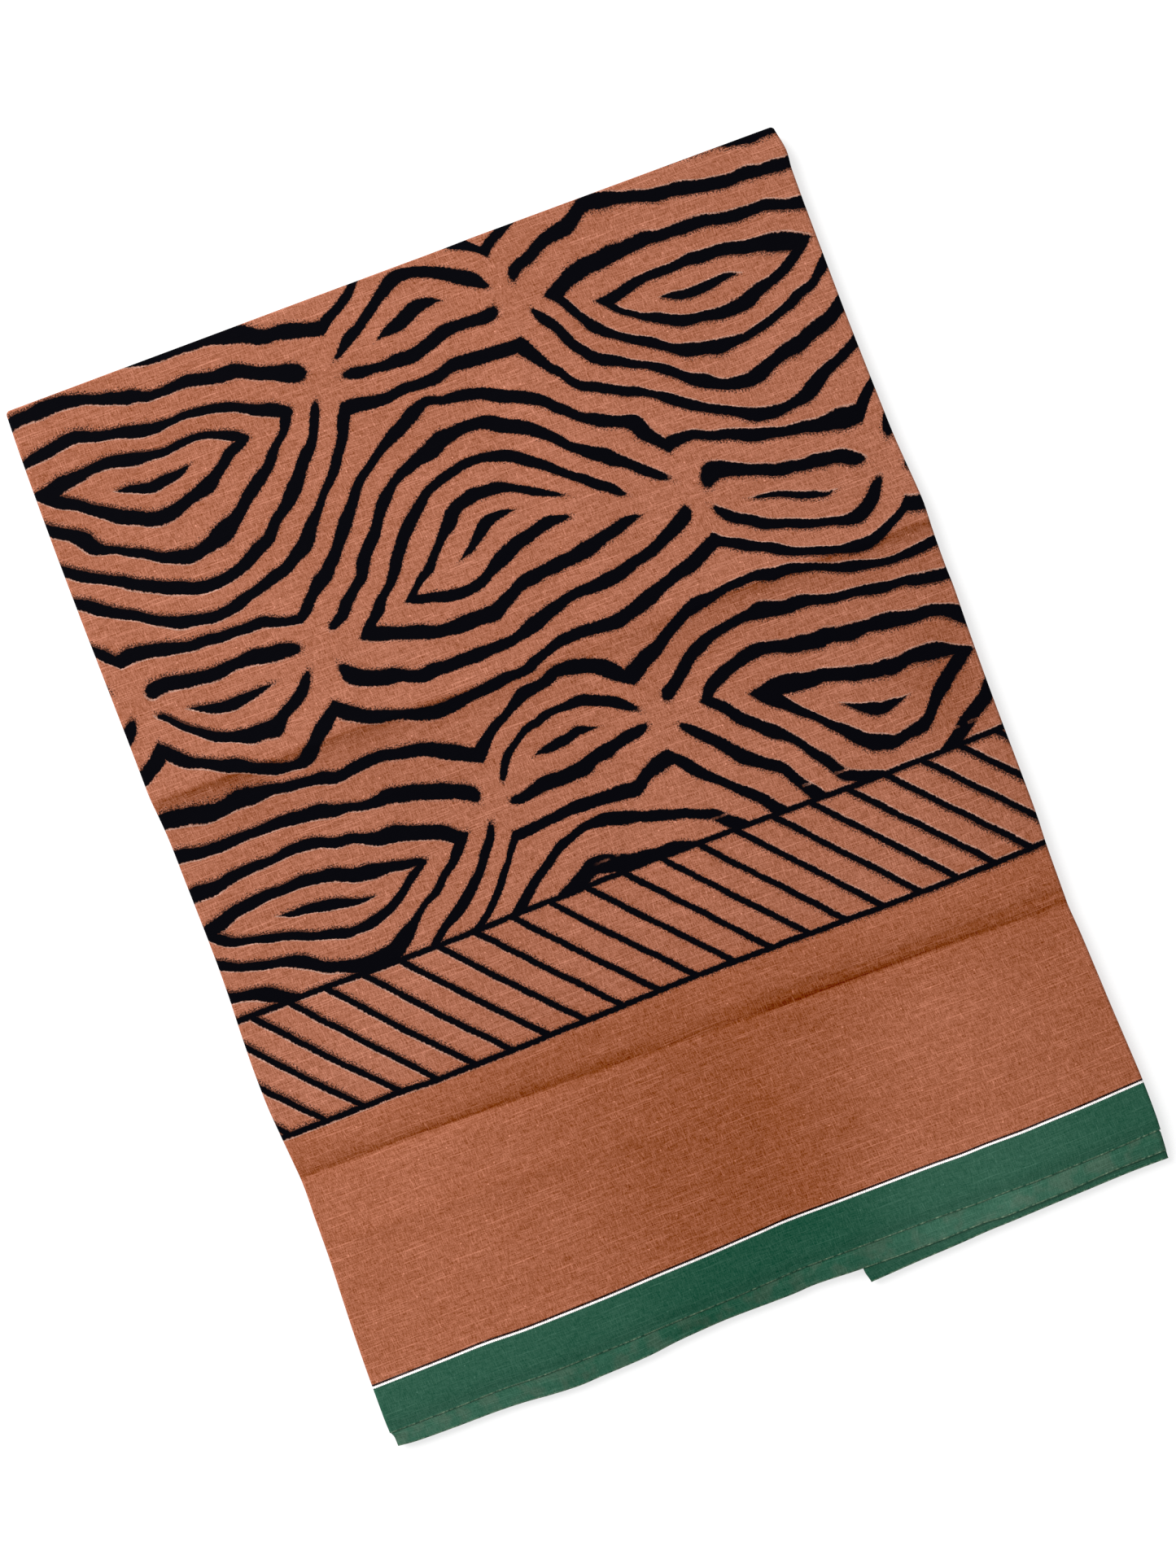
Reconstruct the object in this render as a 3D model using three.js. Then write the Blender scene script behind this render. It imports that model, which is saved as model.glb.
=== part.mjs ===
// A lungi, folded flat and lying on a surface.
//
// The real thing is one printed cotton cloth, about 2.0 m long and 1.23 m wide, with a selvedge
// along each long side. It is folded in half along its length, so that both selvedges lie at -Y
// and the middle fold at +Y, and then to and fro into four panels and a short turned-under end.
//
// Millimetres, +Z up, floor at z = 0, origin under the middle of the folded cloth. In the code
// "across" runs along +X from the left folds and "up" runs along +Y from the selvedges.

import * as THREE from 'three';

// ---- plies ----
const PLY = 1.0;              // wall of one ply, the cloth with its loft
const GAP = 0.3;              // air between one piece and the next
const HIDDEN_STACK = 4.6;     // height of the six hidden plies
const HIDDEN_PLIES = 6;
const BACK_LEVEL = HIDDEN_STACK + GAP;             // underside of the back ply, left of the flap
const FRONT_LEVEL = BACK_LEVEL + PLY + GAP;        // underside of the front ply there
const FRONT_TOP = FRONT_LEVEL + PLY;
const FLAP_LIFT = PLY + GAP;                       // how far the flap raises what lies on it

// ---- plan ----
const FLAP_START = 276;       // where the turned-under end begins
const FLAP_SLANT = 1.6;       // how far its end line leans out by the selvedge
const RAMP = 28;              // length over which the upper plies climb on to the flap
const CORNER = 4;             // plan radius of the top ply's folded corners
const HIDDEN_CORNER = 6;      // and of the hidden plies'
const HIDDEN_SELVEDGE = 5.5;  // the hidden plies stop this far up
const BACK_INSET = { left: 2.4, right: 2.3, top: 1.5 };   // back ply inside the front ply's folds
const FLAP_INSET = { right: 2.2, top: 0.9 };
const OPEN_INSET = 0.7;       // inset at the right fold where no front ply wraps round
const OPEN_BELOW = 10;        // height up the panel below which that holds
const BEVEL = 3.5;            // the plies inside the top ply's rounded corners are cut back by this

// ---- relief shared by every ply ----
const DROOP = 1.2;            // the selvedges sink, having nothing under them
const DROOP_FROM = 24;        // from this height up the panel
const DROOP_RUN = 32;         // over this length
const CREASE_FADE = 20;       // creases die out this close to the side folds

// Old folding lines: where each starts and ends across the panel, its height up the panel at
// those two ends, how far it rises (or sinks), and how fast it dies away below and above.
const CREASES = [
  { from: -5, to: 460, upFrom: 161, upTo: 159, rise: -0.6, below: 5, above: 15 },
  { from: -5, to: 460, upFrom: 377, upTo: 377, rise: 0.7, below: 9, above: 9 },
  { from: 20, to: 185, upFrom: 117, upTo: 113, rise: 0.3, below: 5, above: 7 },
];

// Edges of the folded cloth, as they stray from straight lines.
const LEFT_FOLD = [
  { up: 0, across: -2.3 }, { up: 60, across: -1.7 }, { up: 110, across: 0.4 },
  { up: 153, across: 1.4 }, { up: 190, across: -1.1 }, { up: 225, across: -2.0 },
  { up: 290, across: -0.2 }, { up: 360, across: -0.9 }, { up: 390, across: -2.7 },
  { up: 500, across: -3.6 }, { up: 614, across: -2.6 },
];
const RIGHT_FOLD = [
  { up: 0, across: 457.2 }, { up: 45, across: 457.7 }, { up: 100, across: 455.4 },
  { up: 152, across: 453.3 }, { up: 215, across: 454.7 }, { up: 330, across: 455.7 },
  { up: 387, across: 456.9 }, { up: 425, across: 454.6 }, { up: 500, across: 453.3 },
  { up: 585, across: 453.5 }, { up: 614, across: 453.6 },
];
const TOP_FOLD = [
  { across: 0, up: 613.6 }, { across: 230, up: 613.1 }, { across: 455, up: 611.8 },
];
const FRONT_SELVEDGE = [
  { across: 0, up: 7.8 }, { across: 110, up: 7.9 }, { across: 170, up: 9.8 },
  { across: 245, up: 13.2 }, { across: 335, up: 13.3 }, { across: 385, up: 12.5 },
  { across: 455, up: 15.3 },
];
const BACK_SELVEDGE = [
  { across: 0, up: -0.4 }, { across: 58, up: -1.7 }, { across: 106, up: -4.5 },
  { across: 150, up: -2.4 }, { across: 190, up: 1.0 }, { across: 245, up: 2.0 },
  { across: 350, up: 0.5 }, { across: 415, up: 2.8 }, { across: 455, up: 3.6 },
];
const FLAP_SELVEDGE = [
  { across: 276, up: -7.7 }, { across: 320, up: -5.4 }, { across: 380, up: -2.9 },
  { across: 434, up: -1.1 }, { across: 455, up: -1.2 },
];

// How the front ply wraps round what lies below it: the outer radius of each fold.
const FOLD_RADIUS = {
  left: (FRONT_TOP - HIDDEN_STACK * 4 / HIDDEN_PLIES - 0.35) / 2,
  top: PLY + GAP / 2,
  right: (FRONT_TOP + FLAP_LIFT - BACK_LEVEL) / 2,
};
const FOLD_STEPS = 5;         // flats round each half turn

// The hidden plies from the floor up, side by side: how many share one fold, how far that fold
// lies in from the outline, and how deeply it is rounded.
const HIDDEN_FOLDS = {
  left: [{ plies: 4, inset: 0.6, round: 1.5 }, { plies: 2, inset: 2.5, round: 0.8 }],
  top: [
    { plies: 2, inset: 0.4, round: 1.2 }, { plies: 2, inset: 1.1, round: 1.2 },
    { plies: 2, inset: 0.6, round: 1.2 },
  ],
  right: [{ plies: 2, inset: 3.0, round: 1.0 }, { plies: 4, inset: 0.6, round: 1.5 }],
  bottom: [
    { plies: 1, inset: 0.6, round: 0.9 }, { plies: 1, inset: 2.6, round: 0.9 },
    { plies: 1, inset: 1.2, round: 0.9 }, { plies: 1, inset: 3.4, round: 0.9 },
    { plies: 1, inset: 0.2, round: 0.9 }, { plies: 1, inset: 2.2, round: 0.9 },
  ],
};
const PLY_STATIONS = [0.03, 0.5, 0.97];   // heights in each hidden ply where its edge is drawn

// Grid lines that every ply shares, so that plies lie parallel.
const COLUMNS = [24, 62, 110, 165, 215, 248, 257, 266, 276, 312, 352, 394, 430];
const CREASE_ROWS = [-8, -3, 0, 3, 9];
const rowsAlong = (crease) => CREASE_ROWS.map((offset) => ({ crease, offset }));
const ROWS = [
  { offset: 30 }, { offset: 70 }, { offset: 108 }, { offset: 115 }, { offset: 122 },
  { offset: 140 }, ...rowsAlong(CREASES[0]), { offset: 185 }, { offset: 240 }, { offset: 300 },
  { offset: 350 }, ...rowsAlong(CREASES[1]), { offset: 410 }, { offset: 470 }, { offset: 540 },
  { offset: 590 },
];

const smooth = (t) => {
  const s = THREE.MathUtils.clamp(t, 0, 1);
  return s * s * (3 - 2 * s);
};

// Reads a table between its rows on a smooth curve with no overshoot at the ends.
function readTable(rows, key, value, at) {
  const last = rows.length - 1;
  const x = THREE.MathUtils.clamp(at, rows[0][key], rows[last][key]);
  let k = 0;
  while (k < last - 1 && rows[k + 1][key] <= x) k += 1;
  const slope = (i) => {
    const a = rows[Math.max(i - 1, 0)];
    const b = rows[Math.min(i + 1, last)];
    return (b[value] - a[value]) / (b[key] - a[key]);
  };
  const [low, high] = [rows[k], rows[k + 1]];
  const run = high[key] - low[key];
  const t = (x - low[key]) / run;
  return low[value] * (1 + 2 * t) * (1 - t) ** 2 + slope(k) * run * t * (1 - t) ** 2
    + high[value] * t * t * (3 - 2 * t) - slope(k + 1) * run * t * t * (1 - t);
}

const leftFold = (up) => readTable(LEFT_FOLD, 'up', 'across', up);
const rightFold = (up) => readTable(RIGHT_FOLD, 'up', 'across', up);
const topFold = (across) => readTable(TOP_FOLD, 'across', 'up', across);
const selvedge = (rows) => (across) => readTable(rows, 'across', 'up', across);

function creaseUp(crease, across) {
  const t = (across - crease.from) / (crease.to - crease.from);
  return THREE.MathUtils.lerp(crease.upFrom, crease.upTo, t);
}

// How far the stack is raised or sunk at one place, from its creases and its drooping selvedges.
function relief(across, up) {
  let height = -DROOP * smooth((DROOP_FROM - up) / DROOP_RUN);
  for (const crease of CREASES) {
    const distance = up - creaseUp(crease, across);
    const reach = distance < 0 ? crease.below : crease.above;
    const from = Math.max(crease.from, leftFold(up));
    const to = Math.min(crease.to, rightFold(up));
    const fade = smooth((across - from) / CREASE_FADE) * smooth((to - across) / CREASE_FADE);
    height += crease.rise * fade * Math.exp(-Math.abs(distance) / reach);
  }
  return height;
}

const flapRamp = (across) => FLAP_LIFT * smooth((across - FLAP_START + RAMP) / RAMP);

// ---- meshes ----

// A body under construction: shared vertices, and faces that skip any edge of no length.
class Body {
  constructor() {
    this.points = [];
    this.faces = [];
  }

  point(across, up, z) {
    this.points.push(across, up, z);
    return this.points.length / 3 - 1;
  }

  triangle(a, b, c) {
    if (a !== b && b !== c && c !== a) this.faces.push(a, b, c);
  }

  quad(a, b, c, d) {
    this.triangle(a, b, c);
    this.triangle(a, c, d);
  }

  // Joins two rows of vertices; the first row lies on the left of its own direction of travel.
  band(first, second) {
    for (let i = 0; i + 1 < first.length; i += 1) {
      this.quad(first[i], second[i], second[i + 1], first[i + 1]);
    }
  }

  grid(rows) {
    for (let j = 0; j + 1 < rows.length; j += 1) this.band(rows[j + 1], rows[j]);
  }

  mesh(name, color, roughness) {
    const geometry = new THREE.BufferGeometry();
    geometry.setAttribute('position', new THREE.Float32BufferAttribute(this.points, 3));
    geometry.setIndex(this.faces);
    geometry.computeVertexNormals();
    const mesh = new THREE.Mesh(
      geometry,
      new THREE.MeshStandardMaterial({ color, roughness, metalness: 0 }),
    );
    mesh.name = name;
    return mesh;
  }
}

// Plan positions of a grid: own lines along the edges, shared lines between them.
function planGrid({ left, right, topRows, lowRows, columns = COLUMNS }) {
  const rows = [...lowRows, ...ROWS.map(({ crease, offset }) => (across) => (
    crease ? creaseUp(crease, across) + offset : offset)), ...topRows];
  return rows.map((row) => {
    const leftUp = row(columns[0]);
    const rightUp = row(columns[columns.length - 1]);
    const line = columns.map((across) => ({ across, up: row(across) }));
    const start = left(leftUp);
    const end = right(rightUp);
    return [{ across: start, up: row(start) }, ...line, { across: end, up: row(end) }];
  });
}

const reversed = (rows) => rows.map((row) => [...row].reverse());

// The border of a grid of vertices, anticlockwise from its low left corner.
function borderOf(rows) {
  const last = rows.length - 1;
  const end = rows[0].length - 1;
  return [
    ...rows[0],
    ...rows.slice(1).map((row) => row[end]),
    ...rows[last].slice(0, end).reverse(),
    ...rows.slice(0, last).reverse().map((row) => row[0]),
  ];
}

// A flat ply: the same plan above and below, one wall apart.
function flatPly(name, plan, level, color) {
  const body = new Body();
  const layer = (lift) => plan.map((row) => row.map(({ across, up }) => (
    body.point(across, up, level(across, up) + lift))));
  const top = layer(PLY);
  const under = layer(0);
  body.grid(top);
  body.grid(reversed(under));
  body.band(borderOf(top), borderOf(under));
  return body.mesh(name, color, 0.95);
}

// Stations round the left, top and right folds of a grid whose border lies one margin inside
// them. Each has its place in the grid, an outward direction and its share of each side.
function foldStations(plan, cornerSteps) {
  const last = plan.length - 1;
  const end = plan[0].length - 1;
  const station = (row, column, angle, sides) => (
    { row, column, outX: Math.cos(angle), outY: Math.sin(angle), sides });
  const stations = [];
  for (let row = 0; row < last; row += 1) stations.push(station(row, 0, Math.PI, { left: 1 }));
  for (let k = 0; k <= cornerSteps; k += 1) {
    const share = k / cornerSteps;
    const angle = Math.PI * (1 - share / 2);
    stations.push(station(last, 0, angle, { left: 1 - share, top: share }));
  }
  for (let column = 1; column < end; column += 1) {
    stations.push(station(last, column, Math.PI / 2, { top: 1 }));
  }
  for (let k = 0; k <= cornerSteps; k += 1) {
    const share = k / cornerSteps;
    const angle = Math.PI / 2 * (1 - share);
    stations.push(station(last, end, angle, { top: 1 - share, right: share }));
  }
  for (let row = last - 1; row >= 0; row -= 1) stations.push(station(row, end, 0, { right: 1 }));
  return stations;
}

const shareOf = (sides, amount) => (
  Object.entries(sides).reduce((sum, [side, share]) => sum + share * amount[side], 0));

// The top ply: flat in the middle, and wrapped half way round at the left, top and right.
function frontPly() {
  const edge = selvedge(FRONT_SELVEDGE);
  const plan = planGrid({
    left: (up) => leftFold(up) + CORNER,
    right: (up) => rightFold(up) - CORNER,
    topRows: [(across) => topFold(across) - CORNER],
    lowRows: [edge, (across) => THREE.MathUtils.lerp(edge(across), ROWS[0].offset, 0.45)],
  });
  const stations = foldStations(plan, 3);
  const body = new Body();
  const topAt = ({ across, up }) => FRONT_TOP + flapRamp(across) + relief(across, up);

  const skin = (wall) => {
    const rows = plan.map((row) => row.map((p) => body.point(p.across, p.up, topAt(p) - wall)));
    const rings = [stations.map(({ row, column }) => rows[row][column])];
    for (let k = 0; k <= FOLD_STEPS; k += 1) {
      const turn = Math.PI * (1 / 2 - k / FOLD_STEPS);
      rings.push(stations.map(({ row, column, outX, outY, sides }) => {
        const base = plan[row][column];
        const radius = shareOf(sides, FOLD_RADIUS);
        const out = CORNER - radius + (radius - wall) * Math.cos(turn);
        const z = topAt(base) - radius + (radius - wall) * Math.sin(turn);
        return body.point(base.across + outX * out, base.up + outY * out, z);
      }));
    }
    return { rows, rings };
  };

  const outer = skin(0);
  const inner = skin(PLY);
  body.grid(outer.rows);
  body.grid(reversed(inner.rows));
  for (let k = 0; k <= FOLD_STEPS; k += 1) {
    body.band(outer.rings[k + 1], outer.rings[k]);
    body.band(inner.rings[k], inner.rings[k + 1]);
  }
  body.band(inner.rings[FOLD_STEPS + 1], outer.rings[FOLD_STEPS + 1]);
  // the cut edge along the selvedge, from the left fold's end to the right fold's
  const cutEdge = ({ rows, rings }) => [
    ...rings.slice(1).reverse().map((ring) => ring[0]),
    ...rows[0],
    ...rings.slice(1).map((ring) => ring[ring.length - 1]),
  ];
  body.band(cutEdge(outer), cutEdge(inner));
  return body.mesh('front_ply', 0xb06d50, 0.95);
}

// Where no front ply wraps round the right fold, the plies under it reach almost to the fold.
const openInset = (up, inset) => (up < OPEN_BELOW ? OPEN_INSET : inset);
const bevel = (up, topInset) => BEVEL * smooth(1 + (up + topInset - topFold(0)) / BEVEL);
const bevelledTop = (inset) => [
  (across) => topFold(across) - inset - BEVEL, (across) => topFold(across) - inset];

function backPly() {
  const plan = planGrid({
    left: (up) => leftFold(up) + BACK_INSET.left + bevel(up, BACK_INSET.top),
    right: (up) => (
      rightFold(up) - openInset(up, BACK_INSET.right) - bevel(up, BACK_INSET.top)),
    topRows: bevelledTop(BACK_INSET.top),
    lowRows: [selvedge(BACK_SELVEDGE), () => OPEN_BELOW - 1, () => OPEN_BELOW + 3],
  });
  const level = (across, up) => BACK_LEVEL + flapRamp(across) + relief(across, up);
  return flatPly('back_ply', plan, level, 0x385f4e);
}

function endFlap() {
  const plan = planGrid({
    left: (up) => FLAP_START + FLAP_SLANT * smooth(-up / 8),
    right: (up) => (
      rightFold(up) - openInset(up, FLAP_INSET.right) - bevel(up, FLAP_INSET.top)),
    topRows: bevelledTop(FLAP_INSET.top),
    lowRows: [selvedge(FLAP_SELVEDGE), () => OPEN_BELOW - 1, () => OPEN_BELOW + 3],
    columns: COLUMNS.filter((across) => across > FLAP_START),
  });
  return flatPly('end_flap', plan, (across, up) => BACK_LEVEL + relief(across, up), 0x2d5343);
}

// The edge of the hidden stack on one side: for each station, a share of its height and an inset.
function hiddenProfile(side) {
  const profile = [];
  let first = 0;
  for (const { plies, inset, round } of HIDDEN_FOLDS[side]) {
    for (let ply = 0; ply < plies; ply += 1) {
      for (const part of PLY_STATIONS) {
        const t = 2 * (ply + part) / plies - 1;
        profile.push({
          share: (first + ply + part) / HIDDEN_PLIES,
          inset: inset + round * (1 - Math.sqrt(1 - t * t)),
        });
      }
    }
    first += plies;
  }
  return profile;
}

// The hidden plies as one rounded solid, flat below, with the other plies' relief above.
function foldedLayers() {
  const plan = planGrid({
    left: (up) => leftFold(up) + HIDDEN_CORNER,
    right: (up) => rightFold(up) - HIDDEN_CORNER,
    topRows: [(across) => topFold(across) - HIDDEN_CORNER],
    lowRows: [() => HIDDEN_SELVEDGE + HIDDEN_CORNER],
  });
  const end = plan[0].length - 1;
  const stations = foldStations(plan, 3);
  // the same round the two low corners and along the selvedges, back to where it began
  const lowCorner = (column, from, fromSide, toSide) => [0, 1, 2].map((k) => {
    const angle = from - Math.PI / 2 * k / 3;
    const sides = { [fromSide]: 1 - k / 3, [toSide]: k / 3 };
    return { row: 0, column, outX: Math.cos(angle), outY: Math.sin(angle), sides };
  });
  stations.push(...lowCorner(end, 0, 'right', 'bottom').slice(1));
  for (let column = end; column > 0; column -= 1) {
    stations.push({ row: 0, column, outX: 0, outY: -1, sides: { bottom: 1 } });
  }
  stations.push(...lowCorner(0, -Math.PI / 2, 'bottom', 'left'));

  const profiles = Object.fromEntries(
    Object.keys(HIDDEN_FOLDS).map((side) => [side, hiddenProfile(side)]),
  );
  const count = profiles.left.length;
  const body = new Body();
  const heightAt = ({ across, up }, share) => (
    share * HIDDEN_STACK + relief(across, up) * Math.min(1, 2 * share));
  const closed = (ring) => [...ring, ring[0]];
  const rows = plan.map((row) => row.map((p) => body.point(p.across, p.up, heightAt(p, 1))));
  const floor = plan.map((row) => row.map((p) => body.point(p.across, p.up, 0)));
  const ringAt = (share, insetOf) => closed(stations.map(({ row, column, outX, outY, sides }) => {
    const base = plan[row][column];
    const out = HIDDEN_CORNER - shareOf(sides, insetOf);
    const place = { across: base.across + outX * out, up: base.up + outY * out };
    return body.point(place.across, place.up, heightAt(place, share));
  }));
  const insetsAt = (k) => Object.fromEntries(
    Object.entries(profiles).map(([side, profile]) => [side, profile[k].inset]),
  );
  const rings = [closed(stations.map(({ row, column }) => rows[row][column]))];
  for (let k = count - 1; k >= 0; k -= 1) {
    const share = k === 0 ? 0 : profiles.left[k].share;
    rings.push(ringAt(k === count - 1 ? 1 : share, insetsAt(k)));
  }
  rings.push(closed(stations.map(({ row, column }) => floor[row][column])));
  body.grid(rows);
  body.grid(reversed(floor));
  for (let k = 0; k + 1 < rings.length; k += 1) body.band(rings[k + 1], rings[k]);
  return body.mesh('folded_layers', 0xa5644a, 0.95);
}

const lungi = new THREE.Group();
lungi.add(frontPly(), backPly(), endFlap(), foldedLayers());
const box = new THREE.Box3().setFromObject(lungi);
const middle = box.getCenter(new THREE.Vector3());
lungi.position.set(-middle.x, -middle.y, -box.min.z);

export default lungi;
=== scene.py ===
# %% [markdown]
# # A folded lungi
#
# A lungi is one printed cotton cloth, about 2.0 m long and 1.23 m wide, worn wrapped round the
# waist. For the shop shelf it is folded in half along its length and then to and fro, until it is
# a flat pack with a printed panel on top and the green selvedge borders along one side.
#
# This lesson dresses the packed model of that pack. Its solids give the size and the place of
# every ply. Here each ply becomes a thin cloth with its creases, and gets a woven, dyed and
# printed cotton that is drawn with shader nodes alone.

# %% Load the packed model
import math

import bmesh
import bpy
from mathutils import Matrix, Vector, noise


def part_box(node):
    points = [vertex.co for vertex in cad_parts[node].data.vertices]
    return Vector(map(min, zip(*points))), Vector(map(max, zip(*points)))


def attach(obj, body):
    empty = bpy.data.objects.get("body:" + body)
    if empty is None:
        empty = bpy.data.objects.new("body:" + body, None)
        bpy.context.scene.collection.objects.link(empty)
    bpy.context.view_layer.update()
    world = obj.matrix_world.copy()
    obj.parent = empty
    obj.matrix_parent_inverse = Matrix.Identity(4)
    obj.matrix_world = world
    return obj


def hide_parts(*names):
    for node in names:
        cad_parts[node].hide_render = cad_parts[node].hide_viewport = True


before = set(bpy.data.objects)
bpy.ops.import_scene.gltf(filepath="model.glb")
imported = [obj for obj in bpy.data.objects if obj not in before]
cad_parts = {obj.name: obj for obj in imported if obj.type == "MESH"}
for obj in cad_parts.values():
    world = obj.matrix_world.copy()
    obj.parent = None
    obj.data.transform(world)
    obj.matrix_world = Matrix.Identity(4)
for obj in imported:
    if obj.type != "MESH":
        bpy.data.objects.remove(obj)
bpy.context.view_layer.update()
MM = 0.001
print("nodes:", ", ".join(sorted(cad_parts)))

# %% [markdown]
# Two directions belong to the cloth itself. "Across" runs along the panel from its left fold, and
# "up" runs from the open selvedges to the middle fold. Both are in millimetres, as a tailor would
# measure. Their zero lies near one corner of the pack, so a small function moves a measured point
# into the packed model's frame. It reads that corner from the boxes of two solids, which saves
# copying a number that could change.

# %% From cloth measures to the frame
END_FROM = 276.0  # where the turned-under end begins
MIDDLE_FOLD = 613.6  # the outermost point of the middle fold
ACROSS_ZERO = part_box("end_flap")[0][0] / MM - END_FROM
UP_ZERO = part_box("front_ply")[1][1] / MM - MIDDLE_FOLD


def placed(across, up, height):
    """A point measured on the pack in millimetres, as a point of the frame in metres."""
    return Vector((across + ACROSS_ZERO, up + UP_ZERO, height)) * MM


print("cloth zero, mm:", round(ACROSS_ZERO, 2), round(UP_ZERO, 2))

# %% [markdown]
# The camera comes early, because every later look depends on it. It hangs straight above the pack
# and is turned about the vertical, so that the pack lies aslant in the picture. A 50 mm lens from
# 1.2 m away shows about 0.87 m of table along the long side.

# %% Camera
CAMERA_PLACE = (0.0006, 0.0038, 1.214)
CAMERA_TURN = -20.62
camera = bpy.data.objects.new("Camera", bpy.data.cameras.new("Camera"))
bpy.context.collection.objects.link(camera)
camera.data.lens = 50
camera.data.sensor_width = 36
camera.location = CAMERA_PLACE
camera.rotation_euler = (0, 0, math.radians(CAMERA_TURN))
bpy.context.scene.camera = camera
print("camera height above the table, m:", round(camera.location.z, 3))

# %% [markdown]
# Folded cloth has almost no height: its creases are ripples less than a millimetre high. They only
# show when light rakes over them. So most of the light comes from a bright surrounding, and one
# soft lamp at the upper left gives each ripple a light and a dark side. A big lamp is used rather
# than a sun, because a shop table is lit by wide soft boxes. The table is a light table: it glows a
# little itself, which keeps it white and the shadow beside the pack faint.

# %% Table, lamp and surroundings
TABLE_GLOW = 0.64
SURROUNDING_LIGHT = 0.62
LAMP_POWER = 186
LAMP_DISTANCE = 3.6
TOWARDS_LAMP = Vector((-0.60, 0.80, 0.70)).normalized()

bm = bmesh.new()
bmesh.ops.create_grid(bm, x_segments=1, y_segments=1, size=6)
table = bpy.data.objects.new("Table", bpy.data.meshes.new("Table"))
bm.to_mesh(table.data)
bm.free()
bpy.context.collection.objects.link(table)
table.data.materials.append(bpy.data.materials.new("pale_table"))
table.data.materials[0].use_nodes = True
table_shader = table.data.materials[0].node_tree.nodes["Principled BSDF"]
table_shader.inputs["Base Color"].default_value = (0.36, 0.36, 0.36, 1)
table_shader.inputs["Emission Color"].default_value = (1, 1, 1, 1)
table_shader.inputs["Emission Strength"].default_value = TABLE_GLOW
table_shader.inputs["Roughness"].default_value = 1.0
table_shader.inputs["Specular IOR Level"].default_value = 0.0

lamp = bpy.data.objects.new("Softbox", bpy.data.lights.new("Softbox", "AREA"))
lamp.data.shape = "DISK"
lamp.data.size = 2.4
lamp.data.energy = LAMP_POWER
lamp.location = TOWARDS_LAMP * LAMP_DISTANCE
lamp.rotation_mode = "QUATERNION"
lamp.rotation_quaternion = TOWARDS_LAMP.to_track_quat("Z", "Y")
bpy.context.collection.objects.link(lamp)

world = bpy.data.worlds.new("Surroundings")
world.use_nodes = True
world.node_tree.nodes["Background"].inputs["Color"].default_value = (1, 1, 1, 1)
world.node_tree.nodes["Background"].inputs["Strength"].default_value = SURROUNDING_LIGHT
bpy.context.scene.world = world
bpy.context.scene.view_settings.view_transform = "Standard"
print("lamp height, m:", round(lamp.location.z, 2))

# %% [markdown]
# The pack's edges are nearly straight, but not quite: the folds bulge where creases cross them, and
# the selvedges wander, because the cloth was folded by hand. Each edge is a short table of places
# measured along it, read with a smooth curve. Tables are used rather than noise, since real
# edges have their own particular shape.


# %% Edges of the pack
def smooth(t):
    """A soft step from 0 to 1."""
    t = min(max(t, 0.0), 1.0)
    return t * t * (3 - 2 * t)


def read(table, at):
    """Reads a table of (place, value) rows on a smooth curve."""
    last = len(table) - 1
    at = min(max(at, table[0][0]), table[last][0])
    k = 0
    while k < last - 1 and table[k + 1][0] <= at:
        k += 1
    slopes = []
    for i in (k, k + 1):
        a, b = table[max(i - 1, 0)], table[min(i + 1, last)]
        slopes.append((b[1] - a[1]) / (b[0] - a[0]))
    run = table[k + 1][0] - table[k][0]
    t = (at - table[k][0]) / run
    return (
        table[k][1] * (1 + 2 * t) * (1 - t) ** 2
        + slopes[0] * run * t * (1 - t) ** 2
        + table[k + 1][1] * t * t * (3 - 2 * t)
        - slopes[1] * run * t * t * (1 - t)
    )


LEFT_FOLD = [
    (0, -2.4), (22, -2.3), (45, -2.0), (67, -1.4), (90, -0.4), (112, 0.6), (135, 1.0),
    (153, 1.4), (171, 0.3), (185, -0.8), (203, -1.9), (225, -2.0), (243, -1.5), (270, -0.4),
    (293, -0.1), (338, -0.6), (360, -0.9), (374, -1.8), (387, -2.7), (405, -2.8), (450, -3.2),
    (496, -3.6), (541, -3.6), (586, -3.1), (614, -2.2),
]  # fmt: skip
RIGHT_FOLD = [
    (0, 457.0), (22, 457.7), (45, 457.7), (68, 456.8), (90, 455.8), (113, 455.0), (135, 454.1),
    (149, 453.2), (158, 453.3), (185, 453.7), (203, 454.5), (225, 454.7), (270, 454.7),
    (315, 455.3), (338, 456.0), (351, 455.8), (374, 456.2), (387, 456.8), (396, 456.5),
    (414, 455.3), (428, 454.5), (450, 454.0), (496, 453.3), (541, 453.2), (586, 453.5),
    (597, 454.4), (610, 452.2), (614, 452.0),
]  # fmt: skip
TOP_FOLD = [(0, MIDDLE_FOLD), (180, 613.2), (270, 612.8), (455, 611.8)]
FRONT_SELVEDGE = [
    (0, 8.1), (45, 8.6), (66, 9.0), (90, 8.2), (110, 8.4), (140, 9.0), (164, 10.0), (205, 11.4),
    (233, 12.8), (245, 13.4), (304, 13.5), (332, 13.4), (349, 13.0), (362, 13.3), (384, 13.1),
    (397, 13.5), (420, 14.1), (436, 14.9), (456, 15.9),
]  # fmt: skip
BACK_SELVEDGE = [
    (0, -0.3), (10, -1.3), (33, -1.7), (58, -1.7), (74, -2.3), (90, -3.7), (106, -4.5),
    (119, -3.9), (148, -2.6), (164, -0.7), (177, 0.3), (196, 1.3), (234, 1.4), (247, 2.1),
    (274, 1.4), (296, 0.9), (319, 0.7), (349, 1.3), (358, 0.5), (378, 0.9), (398, 1.5),
    (419, 2.9), (434, 3.3), (456, 3.6),
]  # fmt: skip
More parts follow.
